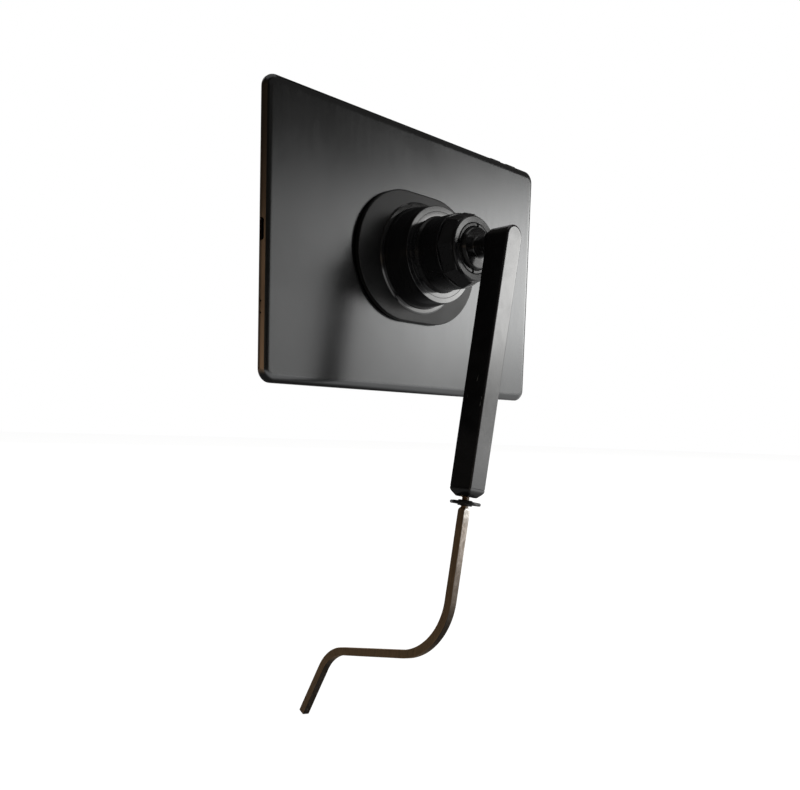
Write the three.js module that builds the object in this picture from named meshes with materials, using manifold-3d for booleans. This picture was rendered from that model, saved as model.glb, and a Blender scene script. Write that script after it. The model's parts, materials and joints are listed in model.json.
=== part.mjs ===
// A tablet holder for an instrument's lyre socket, with a tablet on it. Millimetres, +Z up.
// The screen faces -Y. The ball joint's axis runs along Y, behind the tablet, and the arm
// hangs from the ball in a plane parallel to the tablet, leaning a little towards +X.
// Below the arm a square bar bends forwards under the tablet and then down into the socket.
// The part's origin is on the flat of the bar's tail where the socket's screw presses.
// Inside the code, y = 0 is the tablet's back and x = z = 0 is the ball axis.
import * as THREE from "three";
import { mergeVertices } from "three/addons/utils/BufferGeometryUtils.js";
import Module from "manifold-3d";

const wasm = await Module();
wasm.setup();

const DEGREE = Math.PI / 180;
const GAP = 0.3;

// Driving dimensions
const TABLET = { width: 251.6, height: 180.6, depth: 6.1, corner: 8.6, x: -0.8, z: -1.9 };
const HOUSING = { edge: 5.6, rise: 3.6, wall: 1.6, back: 0.9, depth: 5.2, inside: 7 };
const PORT = { length: 13.5, height: 3.4, y: -3.3, radius: 1.6, inset: 4.8, body: 5.7 };
const BUTTON = { length: 12, height: 2, proud: 0.45, y: -3.9, flange: 0.8, inside: 3.5 };
const PAD = { width: 110, height: 85, depth: 0.7 };
const PLATE = { width: 112, height: 87, front: 4, edge: 0.8 };
const RING = { inner: 34.4, outer: 37.2, height: 0.9 };
const MAGNET = { width: 8, height: 14, depth: 2, x: 41, pitch: 19 };
const HUB = { base: 34, face: 31.8, front: 24, wall: 3.4 };
const HUB_SCREW = { ring: 21, shank: 1.9, head: 3.8, post: 4.4, length: 12 };
const NECK = { radius: 24, foot: 24.9, front: 43.4 };
const THREAD = { radius: 18.2, front: 51.6 };
const BALL = { radius: 14, y: 52, crown: 12.8, crownTop: 58.8, neck: 6.4, shank: 2.8 };
const LINER = { thick: 0.8, clear: 0.2, front: [108, 118], rear: [145, 170] };
const MOUTH = { y: 55, lip: 54.2, outer: 15.8, slots: 4, slot: 2, depth: 10, turn: 6 };
const NUT = { rear: 43.8, shoulder: 53.2, rearCorner: 24.5, frontCorner: 21.8, lip: 20.4, rim: 19.5 };
const ARM = { inner: 69.5, outer: 87, width: 14.4, bevel: 1.2, lean: 9.2, foot: 155, headRise: 2.7 };
const ARM_HOLLOW = { width: 9.6, inner: 72.2, outer: 84.4, top: 14, insert: 4.4 };
const PLUG = { bottom: 160.8, taper: 3.4, top: 138, bore: 4.3 };
const STEM = { side: 5.6, chamfer: 0.45, thread: 2.5, top: 167, y: 78.1 };
const BENDS = {
  drop: 59.2,
  upperRadius: 41.4,
  upperTurn: 78.7,
  run: 61.2,
  lowerRadius: 26.5,
  lowerTurn: 56.4,
  tail: 40,
};
const CLAMP_UP = 12;
const JAM_NUT = { top: 162.6, bottom: 166.4, hub: 4.6, lobe: 10, waist: 8.7, lobes: 5, blade: 2.2 };

// Materials
const BLACK_ANODISED = new THREE.MeshStandardMaterial({ color: 0x17181a, roughness: 0.32, metalness: 0.6 });
const BLACK_PLASTIC = new THREE.MeshStandardMaterial({ color: 0x151516, roughness: 0.45, metalness: 0 });
const BARE_STEEL = new THREE.MeshStandardMaterial({ color: 0x4a3f38, roughness: 0.42, metalness: 0.9 });
const SCREW_STEEL = new THREE.MeshStandardMaterial({ color: 0x8f9194, roughness: 0.3, metalness: 1 });
const BRASS = new THREE.MeshStandardMaterial({ color: 0xb08d4f, roughness: 0.35, metalness: 1 });
const NYLON = new THREE.MeshStandardMaterial({ color: 0x2b2b2c, roughness: 0.55, metalness: 0 });
const SILICONE = new THREE.MeshStandardMaterial({ color: 0x1d1e20, roughness: 0.8, metalness: 0 });
const GREY_ALUMINIUM = new THREE.MeshStandardMaterial({ color: 0x55565a, roughness: 0.4, metalness: 0.9 });
const SCREEN_GLASS = new THREE.MeshStandardMaterial({ color: 0x08090b, roughness: 0.06, metalness: 0 });
const PANEL = new THREE.MeshStandardMaterial({ color: 0x1a1d22, roughness: 0.5, metalness: 0.2 });
const BATTERY = new THREE.MeshStandardMaterial({ color: 0x2a2a2b, roughness: 0.6, metalness: 0.1 });
const BOARD = new THREE.MeshStandardMaterial({ color: 0x1e3a2a, roughness: 0.5, metalness: 0.1 });
const MAGNET_STEEL = new THREE.MeshStandardMaterial({ color: 0xa0a2a5, roughness: 0.25, metalness: 1 });

// Booleans

function solid(geometry) {
  const bare = geometry.clone();
  bare.deleteAttribute("normal");
  bare.deleteAttribute("uv");
  const merged = mergeVertices(bare, 1e-4);
  return new wasm.Manifold(
    new wasm.Mesh({
      numProp: 3,
      vertProperties: new Float32Array(merged.attributes.position.array),
      triVerts: new Uint32Array(merged.index.array),
    }),
  );
}

function geometryOf(body) {
  const mesh = body.getMesh();
  const geometry = new THREE.BufferGeometry();
  geometry.setAttribute("position", new THREE.BufferAttribute(mesh.vertProperties, 3));
  geometry.setIndex(new THREE.BufferAttribute(mesh.triVerts, 1));
  return geometry;
}

function cut(geometry, ...tools) {
  let body = solid(geometry);
  for (const tool of tools) body = body.subtract(solid(tool));
  return geometryOf(body);
}

function join(...geometries) {
  let body = solid(geometries[0]);
  for (const other of geometries.slice(1)) body = body.add(solid(other));
  return geometryOf(body);
}

// Shapes

// A convex closed body through rings of points that run anticlockwise seen from the last ring's end.
function loft(rings) {
  const count = rings[0].length;
  const index = [];
  for (let ring = 0; ring + 1 < rings.length; ring++) {
    for (let i = 0; i < count; i++) {
      const a = ring * count + i;
      const b = ring * count + ((i + 1) % count);
      index.push(a, b, b + count, a, b + count, a + count);
    }
  }
  const last = (rings.length - 1) * count;
  for (let i = 1; i + 1 < count; i++) {
    index.push(0, i + 1, i);
    index.push(last, last + i, last + i + 1);
  }
  const geometry = new THREE.BufferGeometry();
  geometry.setAttribute("position", new THREE.Float32BufferAttribute(rings.flat(2), 3));
  geometry.setIndex(index);
  return geometry;
}

// An anticlockwise rectangle with round corners, as [across, up] pairs.
function roundedOutline(width, height, radius, steps) {
  const points = [];
  const corners = [
    [1, -1, -90],
    [1, 1, 0],
    [-1, 1, 90],
    [-1, -1, 180],
  ];
  for (const [sideX, sideZ, start] of corners) {
    for (let i = 0; i <= steps; i++) {
      const angle = (start + (90 * i) / steps) * DEGREE;
      points.push([
        sideX * (width / 2 - radius) + radius * Math.cos(angle),
        sideZ * (height / 2 - radius) + radius * Math.sin(angle),
      ]);
    }
  }
  return points;
}

// A plate parallel to the XZ plane. Each level is [y, inset], from the highest y down.
function plate({ width, height, radius, steps, levels }) {
  return loft(
    levels.map(([y, inset]) =>
      roundedOutline(width - 2 * inset, height - 2 * inset, radius - inset, steps).map(
        ([x, z]) => [x, y, z],
      ),
    ),
  );
}

// A bar along Z with a rectangular section centred on y. Each level is [z, inset], from the lowest z up.
function post({ width, depth, y, radius, steps, levels }) {
  return loft(
    levels.map(([z, inset]) =>
      roundedOutline(width - 2 * inset, depth - 2 * inset, Math.max(radius - inset, 0.2), steps).map(
        ([across, along]) => [across, y + along, z],
      ),
    ),
  );
}

// A body of revolution about the Y axis. The profile is [radius, y] pairs, outwards and up.
function turned(profile, segments) {
  const points = profile.map(([radius, y]) => new THREE.Vector2(radius, y));
  return new THREE.LatheGeometry(points, segments);
}

// Points on a circle in a turned profile, by the angle from +Y.
function arc(y, radius, from, to, steps) {
  const points = [];
  for (let i = 0; i <= steps; i++) {
    const angle = (from + ((to - from) * i) / steps) * DEGREE;
    points.push([radius * Math.sin(angle), y + radius * Math.cos(angle)]);
  }
  return points;
}

function cylinderY(radius, low, high, x = 0, z = 0, segments = 24) {
  return new THREE.CylinderGeometry(radius, radius, high - low, segments).translate(x, (low + high) / 2, z);
}

function cylinderZ(radius, low, high, y, segments = 24) {
  return new THREE.CylinderGeometry(radius, radius, high - low, segments)
    .rotateX(Math.PI / 2)
    .translate(0, y, (low + high) / 2);
}

function block(width, depth, height, x, y, z) {
  return new THREE.BoxGeometry(width, depth, height).translate(x, y, z);
}

// Puts a named mesh into a group.
function place(group, name, geometry, material) {
  const mesh = new THREE.Mesh(geometry, material);
  mesh.name = name;
  group.add(mesh);
}

// The stem

// Stations along the bent bar, in the plane of its bends: y, z and the angle from straight down.
function stemStations() {
  const stations = [];
  let y = STEM.y;
  let z = -STEM.top;
  let angle = 0;
  const walk = (length, turn, steps) => {
    for (let i = 0; i < steps; i++) {
      const half = (turn / steps / 2) * DEGREE;
      const chord = turn === 0 ? length / steps : 2 * length * Math.sin(Math.abs(half));
      angle += half;
      y -= chord * Math.sin(angle);
      z -= chord * Math.cos(angle);
      angle += half;
      stations.push({ y, z, angle });
    }
  };
  stations.push({ y, z, angle });
  walk(BENDS.drop, 0, 1);
  walk(BENDS.upperRadius, BENDS.upperTurn, 14);
  walk(BENDS.run, 0, 1);
  walk(BENDS.lowerRadius, -BENDS.lowerTurn, 10);
  walk(BENDS.tail, 0, 1);
  return stations;
}

// The bar's square section at a station, with its corners taken off.
function stemRing({ y, z, angle }, side, chamfer) {
  const half = side / 2;
  const flat = half - chamfer;
  const outline = [
    [flat, -half],
    [half, -flat],
    [half, flat],
    [flat, half],
    [-flat, half],
    [-half, flat],
    [-half, -flat],
    [-flat, -half],
  ];
  return outline.map(([across, out]) => [-across, y + out * Math.cos(angle), z - out * Math.sin(angle)]);
}

function stemBar() {
  const stations = stemStations();
  const first = stations[0];
  const neck = { ...first, z: first.z - 1 };
  const end = stations.at(-1);
  const short = {
    y: end.y + 0.5 * Math.sin(end.angle),
    z: end.z + 0.5 * Math.cos(end.angle),
    angle: end.angle,
  };
  const rings = [
    stemRing(first, STEM.side - 1.4, 0.9),
    stemRing(neck, STEM.side, STEM.chamfer),
    ...stations.slice(1, -1).map((station) => stemRing(station, STEM.side, STEM.chamfer)),
    stemRing(short, STEM.side, STEM.chamfer),
    stemRing(end, STEM.side - 1, STEM.chamfer),
  ];
  const thread = cylinderZ(STEM.thread, -STEM.top - 2, -148, STEM.y, 24);
  return join(loft(rings), thread);
}

// The centre of the flat on the tail that the socket's screw presses, in the arm's frame.
function clampPoint() {
  const end = stemStations().at(-1);
  return new THREE.Vector3(
    STEM.side / 2,
    end.y + CLAMP_UP * Math.sin(end.angle),
    end.z + CLAMP_UP * Math.cos(end.angle),
  );
}

function jamNut() {
  const shape = new THREE.Shape();
  const steps = 8 * JAM_NUT.lobes;
  for (let i = 0; i < steps; i++) {
    const angle = (360 * DEGREE * i) / steps;
    const wave = (1 + Math.cos(JAM_NUT.lobes * angle)) / 2;
    const radius = JAM_NUT.waist + (JAM_NUT.lobe - JAM_NUT.waist) * wave;
    const point = [radius * Math.cos(angle), radius * Math.sin(angle)];
    if (i === 0) shape.moveTo(...point);
    else shape.lineTo(...point);
  }
  const middle = -(JAM_NUT.top + JAM_NUT.bottom) / 2;
  const edge = 0.5;
  const blade = new THREE.ExtrudeGeometry(shape, {
    depth: JAM_NUT.blade - 2 * edge,
    bevelThickness: edge,
    bevelSize: edge,
    bevelOffset: -edge,
    bevelSegments: 1,
  }).translate(0, STEM.y, middle - JAM_NUT.blade / 2 + edge);
  const hub = cylinderZ(JAM_NUT.hub, -JAM_NUT.bottom, -JAM_NUT.top, STEM.y, 24);
  const bore = cylinderZ(STEM.thread + GAP, -JAM_NUT.bottom - 1, -JAM_NUT.top + 1, STEM.y, 24);
  return cut(join(blade, hub), bore);
}

// The arm

// The arm's outline: a round top end about the head's centre, straight sides and a square foot.
function armOutline(halfWidth, top, foot) {
  const shape = new THREE.Shape();
  shape.moveTo(-halfWidth, -foot);
  shape.lineTo(halfWidth, -foot);
  shape.absarc(0, top, halfWidth, 0, Math.PI, false);
  return shape;
}

// Stands a shape up in the XZ plane and gives it depth from low to high along Y.
function upright(shape, low, high, bevel, curveSegments) {
  return new THREE.ExtrudeGeometry(shape, {
    depth: high - low - 2 * bevel,
    bevelEnabled: bevel > 0,
    bevelThickness: bevel,
    bevelSize: bevel,
    bevelOffset: -bevel,
    bevelSegments: 2,
    curveSegments,
  })
    .rotateX(Math.PI / 2)
    .translate(0, high - bevel, 0);
}

function armTube() {
  const outline = armOutline(ARM.width / 2, ARM.headRise, ARM.foot);
  const body = upright(outline, ARM.inner, ARM.outer, ARM.bevel, 20);
  const length = ARM.foot - ARM_HOLLOW.top + 1;
  const depth = ARM_HOLLOW.outer - ARM_HOLLOW.inner;
  const hollow = block(
    ARM_HOLLOW.width,
    depth,
    length,
    0,
    ARM_HOLLOW.inner + depth / 2,
    -ARM_HOLLOW.top - length / 2,
  );
  const pocket = cylinderY(ARM_HOLLOW.insert + GAP, ARM.inner - 1, ARM.inner + 13);
  return cut(body, hollow, pocket);
}

function headInsert() {
  const body = cylinderY(ARM_HOLLOW.insert, ARM.inner + GAP, ARM.inner + 12.5);
  return cut(body, cylinderY(BALL.shank + GAP, ARM.inner - 1, ARM.inner + 12));
}

function endPlug() {
  const depth = ARM.outer - ARM.inner;
  const y = ARM.inner + depth / 2;
  const cap = post({
    width: ARM.width,
    depth,
    y,
    radius: ARM.bevel,
    steps: 2,
    levels: [
      [-PLUG.bottom, PLUG.taper],
      [-PLUG.bottom + 1.6, 1.9],
      [-PLUG.bottom + 2.7, 0.9],
      [-PLUG.bottom + 3.7, 0.25],
      [-PLUG.bottom + 4.5, 0],
      [-ARM.foot - GAP, 0],
    ],
  });
  const tongue = post({
    width: ARM_HOLLOW.width - 2 * GAP,
    depth: ARM_HOLLOW.outer - ARM_HOLLOW.inner - 2 * GAP,
    y: (ARM_HOLLOW.inner + ARM_HOLLOW.outer) / 2,
    radius: 0.5,
    steps: 1,
    levels: [
      [-ARM.foot - 1, 0],
      [-PLUG.top, 0],
    ],
  });
  return cut(join(cap, tongue), cylinderZ(PLUG.bore, -PLUG.bottom - 1, -PLUG.top + 1, STEM.y));
}

function lowerInsert() {
  const body = cylinderZ(PLUG.bore - GAP, -PLUG.bottom + GAP, -PLUG.top, STEM.y);
  return cut(body, cylinderZ(STEM.thread + GAP, -PLUG.bottom - 1, -PLUG.top + 1, STEM.y));
}

// The ball is cut to a shallow crown round the neck.
function ballStud() {
  const crownAngle = Math.asin(BALL.crown / BALL.radius) / DEGREE;
  const sphere = arc(BALL.y, BALL.radius, 180, crownAngle, 12);
  const profile = [
    ...sphere.map(([radius, y], i) => (i === 0 ? [0, y] : [radius, y])),
    [BALL.neck + 0.1, BALL.crownTop],
    [BALL.neck, BALL.y + BALL.radius],
    [BALL.neck + 0.5, ARM.inner - 2],
    [BALL.neck + 1.2, ARM.inner],
    [BALL.shank, ARM.inner],
    [BALL.shank, ARM.inner + 11],
    [0, ARM.inner + 11],
  ];
  return turned(profile, 32);
}

// The ball joint

// A spherical shell about the ball, between two angles from +Y.
function liner(from, to, steps) {
  const inner = BALL.radius + LINER.clear;
  const outer = inner + LINER.thick;
  const profile = [...arc(BALL.y, outer, to, from, steps), ...arc(BALL.y, inner, from, to, steps)];
  return turned([...profile, profile[0]], 32);
}

function socket() {
  const cavity = BALL.radius + 2 * LINER.clear + LINER.thick;
  const lip = BALL.radius + LINER.clear;
  const lipAngle = Math.acos((MOUTH.lip - BALL.y) / cavity) / DEGREE;
  const septum = BALL.y - cavity;
  const profile = [
    [0, septum - 1.8],
    [BALL.shank + GAP, septum - 1.8],
    [BALL.shank + GAP, HUB.front],
    [NECK.foot, HUB.front],
    [NECK.foot - 0.5, HUB.front + 1],
    [NECK.radius, HUB.front + 2.6],
    [NECK.radius, NECK.front - 0.4],
    [NECK.radius - 0.4, NECK.front],
    [THREAD.radius, NECK.front],
    [THREAD.radius, THREAD.front],
    [MOUTH.outer, MOUTH.y],
    [Math.sqrt(lip ** 2 - (MOUTH.y - BALL.y) ** 2), MOUTH.y],
    [Math.sqrt(lip ** 2 - (MOUTH.lip - BALL.y) ** 2), MOUTH.lip],
    ...arc(BALL.y, cavity, lipAngle, 179, 12),
    [0, septum],
  ];
  const slots = [];
  const middle = MOUTH.y + 0.5 - MOUTH.depth / 2;
  for (let i = 0; i < MOUTH.slots / 2; i++) {
    const angle = (-MOUTH.turn + (360 / MOUTH.slots) * i) * DEGREE;
    const slot = block(MOUTH.slot, MOUTH.depth + 1, 2 * THREAD.radius + 2, 0, middle, 0);
    slots.push(slot.rotateY(angle));
  }
  return cut(turned(profile, 40), ...slots);
}

function collarNut() {
  const facets = new THREE.CylinderGeometry(NUT.frontCorner, NUT.rearCorner, NUT.shoulder - NUT.rear, 8)
    .rotateY(90 * DEGREE)
    .translate(0, (NUT.rear + NUT.shoulder) / 2, 0);
  const lip = turned(
    [
      [0, NUT.shoulder - 1],
      [NUT.lip, NUT.shoulder - 1],
      [NUT.lip, MOUTH.y - 0.8],
      [NUT.rim, MOUTH.y],
      [0, MOUTH.y],
    ],
    48,
  );
  const bore = turned(
    [
      [0, NUT.rear - 1],
      [THREAD.radius + GAP, NUT.rear - 1],
      [THREAD.radius + GAP, THREAD.front + 0.2],
      [MOUTH.outer + GAP, MOUTH.y + 0.1],
      [MOUTH.outer + GAP, MOUTH.y + 1],
      [0, MOUTH.y + 1],
    ],
    48,
  );
  return cut(join(facets, lip), bore);
}

function socketScrew() {
  const seat = HUB.front - HUB.wall;
  return turned(
    [
      [0, seat - 4],
      [5.4, seat - 4],
      [5.8, seat - 3.4],
      [5.8, seat],
      [BALL.shank, seat],
      [BALL.shank, HUB.front + 10],
      [0, HUB.front + 10],
    ],
    24,
  );
}

// The hub and the plate

function hubScrewPlaces() {
  const places = [];
  for (let i = 0; i < 4; i++) {
    const angle = (45 + 90 * i) * DEGREE;
    places.push([HUB_SCREW.ring * Math.cos(angle), HUB_SCREW.ring * Math.sin(angle)]);
  }
  return places;
}

function hubBody() {
  const ceiling = HUB.front - HUB.wall;
  const profile = [
    [BALL.shank + GAP, ceiling],
    [HUB.base - HUB.wall - 1.6, ceiling],
    [HUB.base - HUB.wall, ceiling - 1.6],
    [HUB.base - HUB.wall, PLATE.front],
    [HUB.base, PLATE.front],
    [HUB.base - 0.2, PLATE.front + 3],
    [HUB.face, HUB.front - 0.9],
    [HUB.face - 0.5, HUB.front],
    [BALL.shank + GAP, HUB.front],
  ];
  const shell = turned([...profile, profile[0]], 48);
  const posts = hubScrewPlaces().map(([x, z]) =>
    cylinderY(HUB_SCREW.post, PLATE.front, ceiling + 1, x, z, 16),
  );
  const holes = hubScrewPlaces().map(([x, z]) =>
    cylinderY(HUB_SCREW.shank + GAP, PLATE.front - 1, PLATE.front + HUB_SCREW.length - 1, x, z, 16),
  );
  return cut(join(shell, ...posts), ...holes);
}

function hubScrew(x, z) {
  const head = PAD.depth + 0.4;
  return turned(
    [
      [0, head],
      [HUB_SCREW.head, head],
      [HUB_SCREW.shank, head + HUB_SCREW.head - HUB_SCREW.shank],
      [HUB_SCREW.shank, head + HUB_SCREW.length],
      [0, head + HUB_SCREW.length],
    ],
    16,
  ).translate(x, 0, z);
}

function magnetPlaces() {
  const places = [];
  for (const side of [-1, 1]) {
    for (const row of [-1, 0, 1]) places.push([side * MAGNET.x, row * MAGNET.pitch]);
  }
  return places;
}

function basePlate() {
  const body = plate({
    width: PLATE.width,
    height: PLATE.height,
    radius: PLATE.height / 2,
    steps: 12,
    levels: [
      [PLATE.front, PLATE.edge],
      [PLATE.front - PLATE.edge / 3, PLATE.edge / 4],
      [PLATE.front - PLATE.edge, 0],
      [PAD.depth, 0],
    ],
  });
  const ringProfile = [
    [RING.inner, PLATE.front - 1],
    [RING.outer, PLATE.front - 1],
    [RING.outer, PLATE.front + RING.height - 0.5],
    [RING.outer - 0.5, PLATE.front + RING.height],
    [RING.inner, PLATE.front + RING.height],
  ];
  const ring = turned([...ringProfile, ringProfile[0]], 48);
  const across = MAGNET.width + 2 * GAP;
  const tall = MAGNET.height + 2 * GAP;
  const deep = MAGNET.depth + GAP + 1;
  const pockets = magnetPlaces().map(([x, z]) =>
    block(across, deep, tall, x, PAD.depth - 1 + deep / 2, z),
  );
  const sinks = hubScrewPlaces().map(([x, z]) => {
    const wide = HUB_SCREW.head + GAP;
    const narrow = HUB_SCREW.shank + GAP;
    const head = PAD.depth + 0.4;
    return turned(
      [
        [0, PAD.depth - 1],
        [wide, PAD.depth - 1],
        [wide, head],
        [narrow, head + wide - narrow],
        [narrow, PLATE.front + 1],
        [0, PLATE.front + 1],
      ],
      20,
    ).translate(x, 0, z);
  });
  return cut(join(body, ring), ...pockets, ...sinks);
}

function facePad() {
  return plate({
    width: PAD.width,
    height: PAD.height,
    radius: PAD.height / 2,
    steps: 12,
    levels: [
      [PAD.depth, 0],
      [0.2, 0],
      [0, 0.2],
    ],
  });
}

// The tablet

function tabletHousing() {
  const levels = [];
  for (let i = 0; i <= 6; i++) {
    const angle = (90 * i * DEGREE) / 6;
    levels.push([-HOUSING.rise * (1 - Math.cos(angle)), HOUSING.edge * (1 - Math.sin(angle))]);
  }
  levels.push([-HOUSING.depth, 0]);
  const { width, height, corner: radius } = TABLET;
  const shell = plate({ width, height, radius, steps: 6, levels });
  const hollow = plate({
    width: width - 2 * HOUSING.wall,
    height: height - 2 * HOUSING.wall,
    radius: HOUSING.inside,
    steps: 5,
    levels: [
      [-HOUSING.back, 3.9],
      [-1.6, 2.7],
      [-2.6, 1.4],
      [-3.8, 0.5],
      [-HOUSING.depth - 1, 0],
    ],
  });
  const right = width / 2 - HOUSING.wall / 2;
  const microphones = [-42, -49].map((z) => block(6, 1.3, 1.3, right, PORT.y, z));
  const slots = buttonPlaces().map(({ x, z, turn }) =>
    block(BUTTON.length + 2 * GAP, BUTTON.height + 2 * GAP, 7, 0, BUTTON.y, 0)
      .rotateY(turn)
      .translate(x, 0, z),
  );
  return cut(shell, hollow, portSlot(9, right), ...microphones, ...slots);
}

// The charging port's outline, a slot with round ends, pushed through along X.
function portSlot(depth, x, shrink = 0) {
  const length = PORT.length - 2 * shrink;
  const height = PORT.height - 2 * shrink;
  const outline = roundedOutline(length, height, PORT.radius - shrink, 5);
  const ring = (at) => outline.map(([along, up]) => [at, PORT.y - up, along]);
  return loft([ring(x - depth / 2), ring(x + depth / 2)]);
}

function portConnector() {
  const front = TABLET.width / 2 - PORT.inset;
  const body = panelBlock(PORT.body, PORT.length + 2, -5.1, -1.55, front - PORT.body / 2, 0);
  return cut(body, portSlot(6, front - 2, 0.25));
}

// Where each side button crosses the housing's wall. A turn of 0 faces +Z.
function buttonPlaces() {
  const top = TABLET.height / 2;
  const end = -TABLET.width / 2;
  return [
    { name: "power_button", x: end, z: 70, turn: -90 * DEGREE },
    { name: "volume_up_button", x: -100, z: top, turn: 0 },
    { name: "volume_down_button", x: -82, z: top, turn: 0 },
  ];
}

function button({ x, z, turn }) {
  const cap = post({
    width: BUTTON.length,
    depth: BUTTON.height,
    y: BUTTON.y,
    radius: 0.9,
    steps: 3,
    levels: [
      [-BUTTON.inside, 0],
      [BUTTON.proud - 0.2, 0],
      [BUTTON.proud, 0.2],
    ],
  });
  const flange = block(BUTTON.length + 2.4, BUTTON.height, BUTTON.flange, 0, BUTTON.y, -BUTTON.inside);
  return join(cap, flange).rotateY(turn).translate(x, 0, z);
}

function panelBlock(width, height, front, back, x, z) {
  return block(width, back - front, height, x, (front + back) / 2, z);
}

function frontGlass() {
  const { width, height, corner: radius } = TABLET;
  return plate({
    width,
    height,
    radius,
    steps: 6,
    levels: [
      [-HOUSING.depth, 0.6],
      [-TABLET.depth + 0.3, 0.6],
      [-TABLET.depth, 0.9],
    ],
  });
}

function buildTablet() {
  const group = new THREE.Group();
  group.position.set(TABLET.x, 0, TABLET.z);
  place(group, "tablet_housing", tabletHousing(), GREY_ALUMINIUM);
  place(group, "front_glass", frontGlass(), SCREEN_GLASS);
  place(group, "display_panel", panelBlock(228, 166, -5.1, -3.8, 0, 0), PANEL);
  place(group, "battery_left", panelBlock(80, 140, -3.7, -1.9, -56, 0), BATTERY);
  place(group, "battery_right", panelBlock(80, 140, -3.7, -1.9, 56, 0), BATTERY);
  place(group, "logic_board", panelBlock(26, 150, -3.2, -2, 0, 0), BOARD);
  place(group, "tablet_magnet_left", panelBlock(10, 52, -1.8, -1.1, -MAGNET.x, 0), MAGNET_STEEL);
  place(group, "tablet_magnet_right", panelBlock(10, 52, -1.8, -1.1, MAGNET.x, 0), MAGNET_STEEL);
  place(group, "port_connector", portConnector(), BLACK_PLASTIC);
  place(group, "front_camera", cylinderY(1.9, -5.1, -2.6, -119.6, 0), BLACK_PLASTIC);
  let speaker = 1;
  for (const side of [-1, 1]) {
    for (const level of [-1, 1]) {
      const box = panelBlock(13, 44, -3.7, -1.6, side * 105, level * 52);
      place(group, `speaker_${speaker}`, box, BLACK_PLASTIC);
      speaker += 1;
    }
  }
  for (const site of buttonPlaces()) place(group, site.name, button(site), GREY_ALUMINIUM);
  return group;
}

// Assembly

function buildHead() {
  const group = new THREE.Group();
  place(group, "face_pad", facePad(), SILICONE);
  place(group, "base_plate", basePlate(), BLACK_ANODISED);
  magnetPlaces().forEach(([x, z], i) => {
    const magnet = block(MAGNET.width, MAGNET.depth, MAGNET.height, x, PAD.depth + 0.1 + MAGNET.depth / 2, z);
    place(group, `plate_magnet_${i + 1}`, magnet, MAGNET_STEEL);
  });
  place(group, "hub_body", hubBody(), BLACK_ANODISED);
  hubScrewPlaces().forEach(([x, z], i) => place(group, `hub_screw_${i + 1}`, hubScrew(x, z), SCREW_STEEL));
  place(group, "socket_screw", socketScrew(), SCREW_STEEL);
  place(group, "socket", socket(), BLACK_ANODISED);
  place(group, "collar_nut", collarNut(), BLACK_ANODISED);
  place(group, "ball_liner_front", liner(...LINER.front, 2), NYLON);
  place(group, "ball_liner_rear", liner(...LINER.rear, 4), NYLON);
  return group;
}

function buildArm() {
  const group = new THREE.Group();
  group.rotation.y = -ARM.lean * DEGREE;
  place(group, "ball_stud", ballStud(), BLACK_ANODISED);
  place(group, "head_insert", headInsert(), BRASS);
  place(group, "arm_tube", armTube(), BLACK_ANODISED);
  place(group, "end_plug", endPlug(), BLACK_PLASTIC);
  place(group, "lower_insert", lowerInsert(), BRASS);
  place(group, "jam_nut", jamNut(), BLACK_PLASTIC);
  place(group, "stem_bar", stemBar(), BARE_STEEL);
  return group;
}

const holder = new THREE.Group();
const arm = buildArm();
holder.add(arm, buildHead(), buildTablet());
const origin = clampPoint().applyEuler(arm.rotation);
holder.position.copy(origin.negate());

const group = new THREE.Group();
group.add(holder);

export default group;
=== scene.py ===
"""The looks of a tablet holder: a tablet on a ball-jointed magnetic plate, an arm and a bent lyre stem.

Shapes are made in millimetres round the ball joint's axis: y = 0 is the tablet's back and x = z = 0 is the
axis. HEAD turns that into the row's frame, ARM does the same for the leaning arm, and TABLET for the tablet.
"""
import json
import math

import bmesh
import bpy
from mathutils import Matrix, Vector, noise


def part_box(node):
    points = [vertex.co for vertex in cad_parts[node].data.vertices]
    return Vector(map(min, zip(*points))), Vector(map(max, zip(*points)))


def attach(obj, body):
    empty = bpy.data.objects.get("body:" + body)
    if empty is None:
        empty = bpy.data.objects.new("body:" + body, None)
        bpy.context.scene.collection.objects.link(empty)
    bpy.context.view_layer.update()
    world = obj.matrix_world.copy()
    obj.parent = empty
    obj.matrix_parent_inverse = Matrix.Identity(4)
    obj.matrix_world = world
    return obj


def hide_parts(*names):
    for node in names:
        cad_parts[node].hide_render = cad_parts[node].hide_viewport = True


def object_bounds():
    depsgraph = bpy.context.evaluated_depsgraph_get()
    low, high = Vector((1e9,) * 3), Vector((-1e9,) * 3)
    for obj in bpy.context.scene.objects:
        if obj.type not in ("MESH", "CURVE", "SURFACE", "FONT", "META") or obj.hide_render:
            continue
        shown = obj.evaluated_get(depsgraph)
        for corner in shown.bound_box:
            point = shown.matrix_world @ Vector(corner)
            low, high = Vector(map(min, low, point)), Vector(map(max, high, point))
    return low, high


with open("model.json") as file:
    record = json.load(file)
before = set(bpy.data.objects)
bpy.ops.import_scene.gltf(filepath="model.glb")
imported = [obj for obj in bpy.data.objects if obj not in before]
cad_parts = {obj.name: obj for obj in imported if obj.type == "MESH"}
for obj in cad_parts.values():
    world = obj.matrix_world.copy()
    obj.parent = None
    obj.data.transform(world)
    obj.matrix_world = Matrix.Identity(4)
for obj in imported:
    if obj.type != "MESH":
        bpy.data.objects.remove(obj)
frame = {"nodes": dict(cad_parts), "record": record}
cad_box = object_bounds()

MM = 0.001
TAU = 2 * math.pi


# --- Where things are -------------------------------------------------------------------------------------


def box_centre(node):
    low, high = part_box(node)
    return (low + high) / 2


def box_size(node):
    low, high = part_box(node)
    return (high - low) / MM


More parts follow.
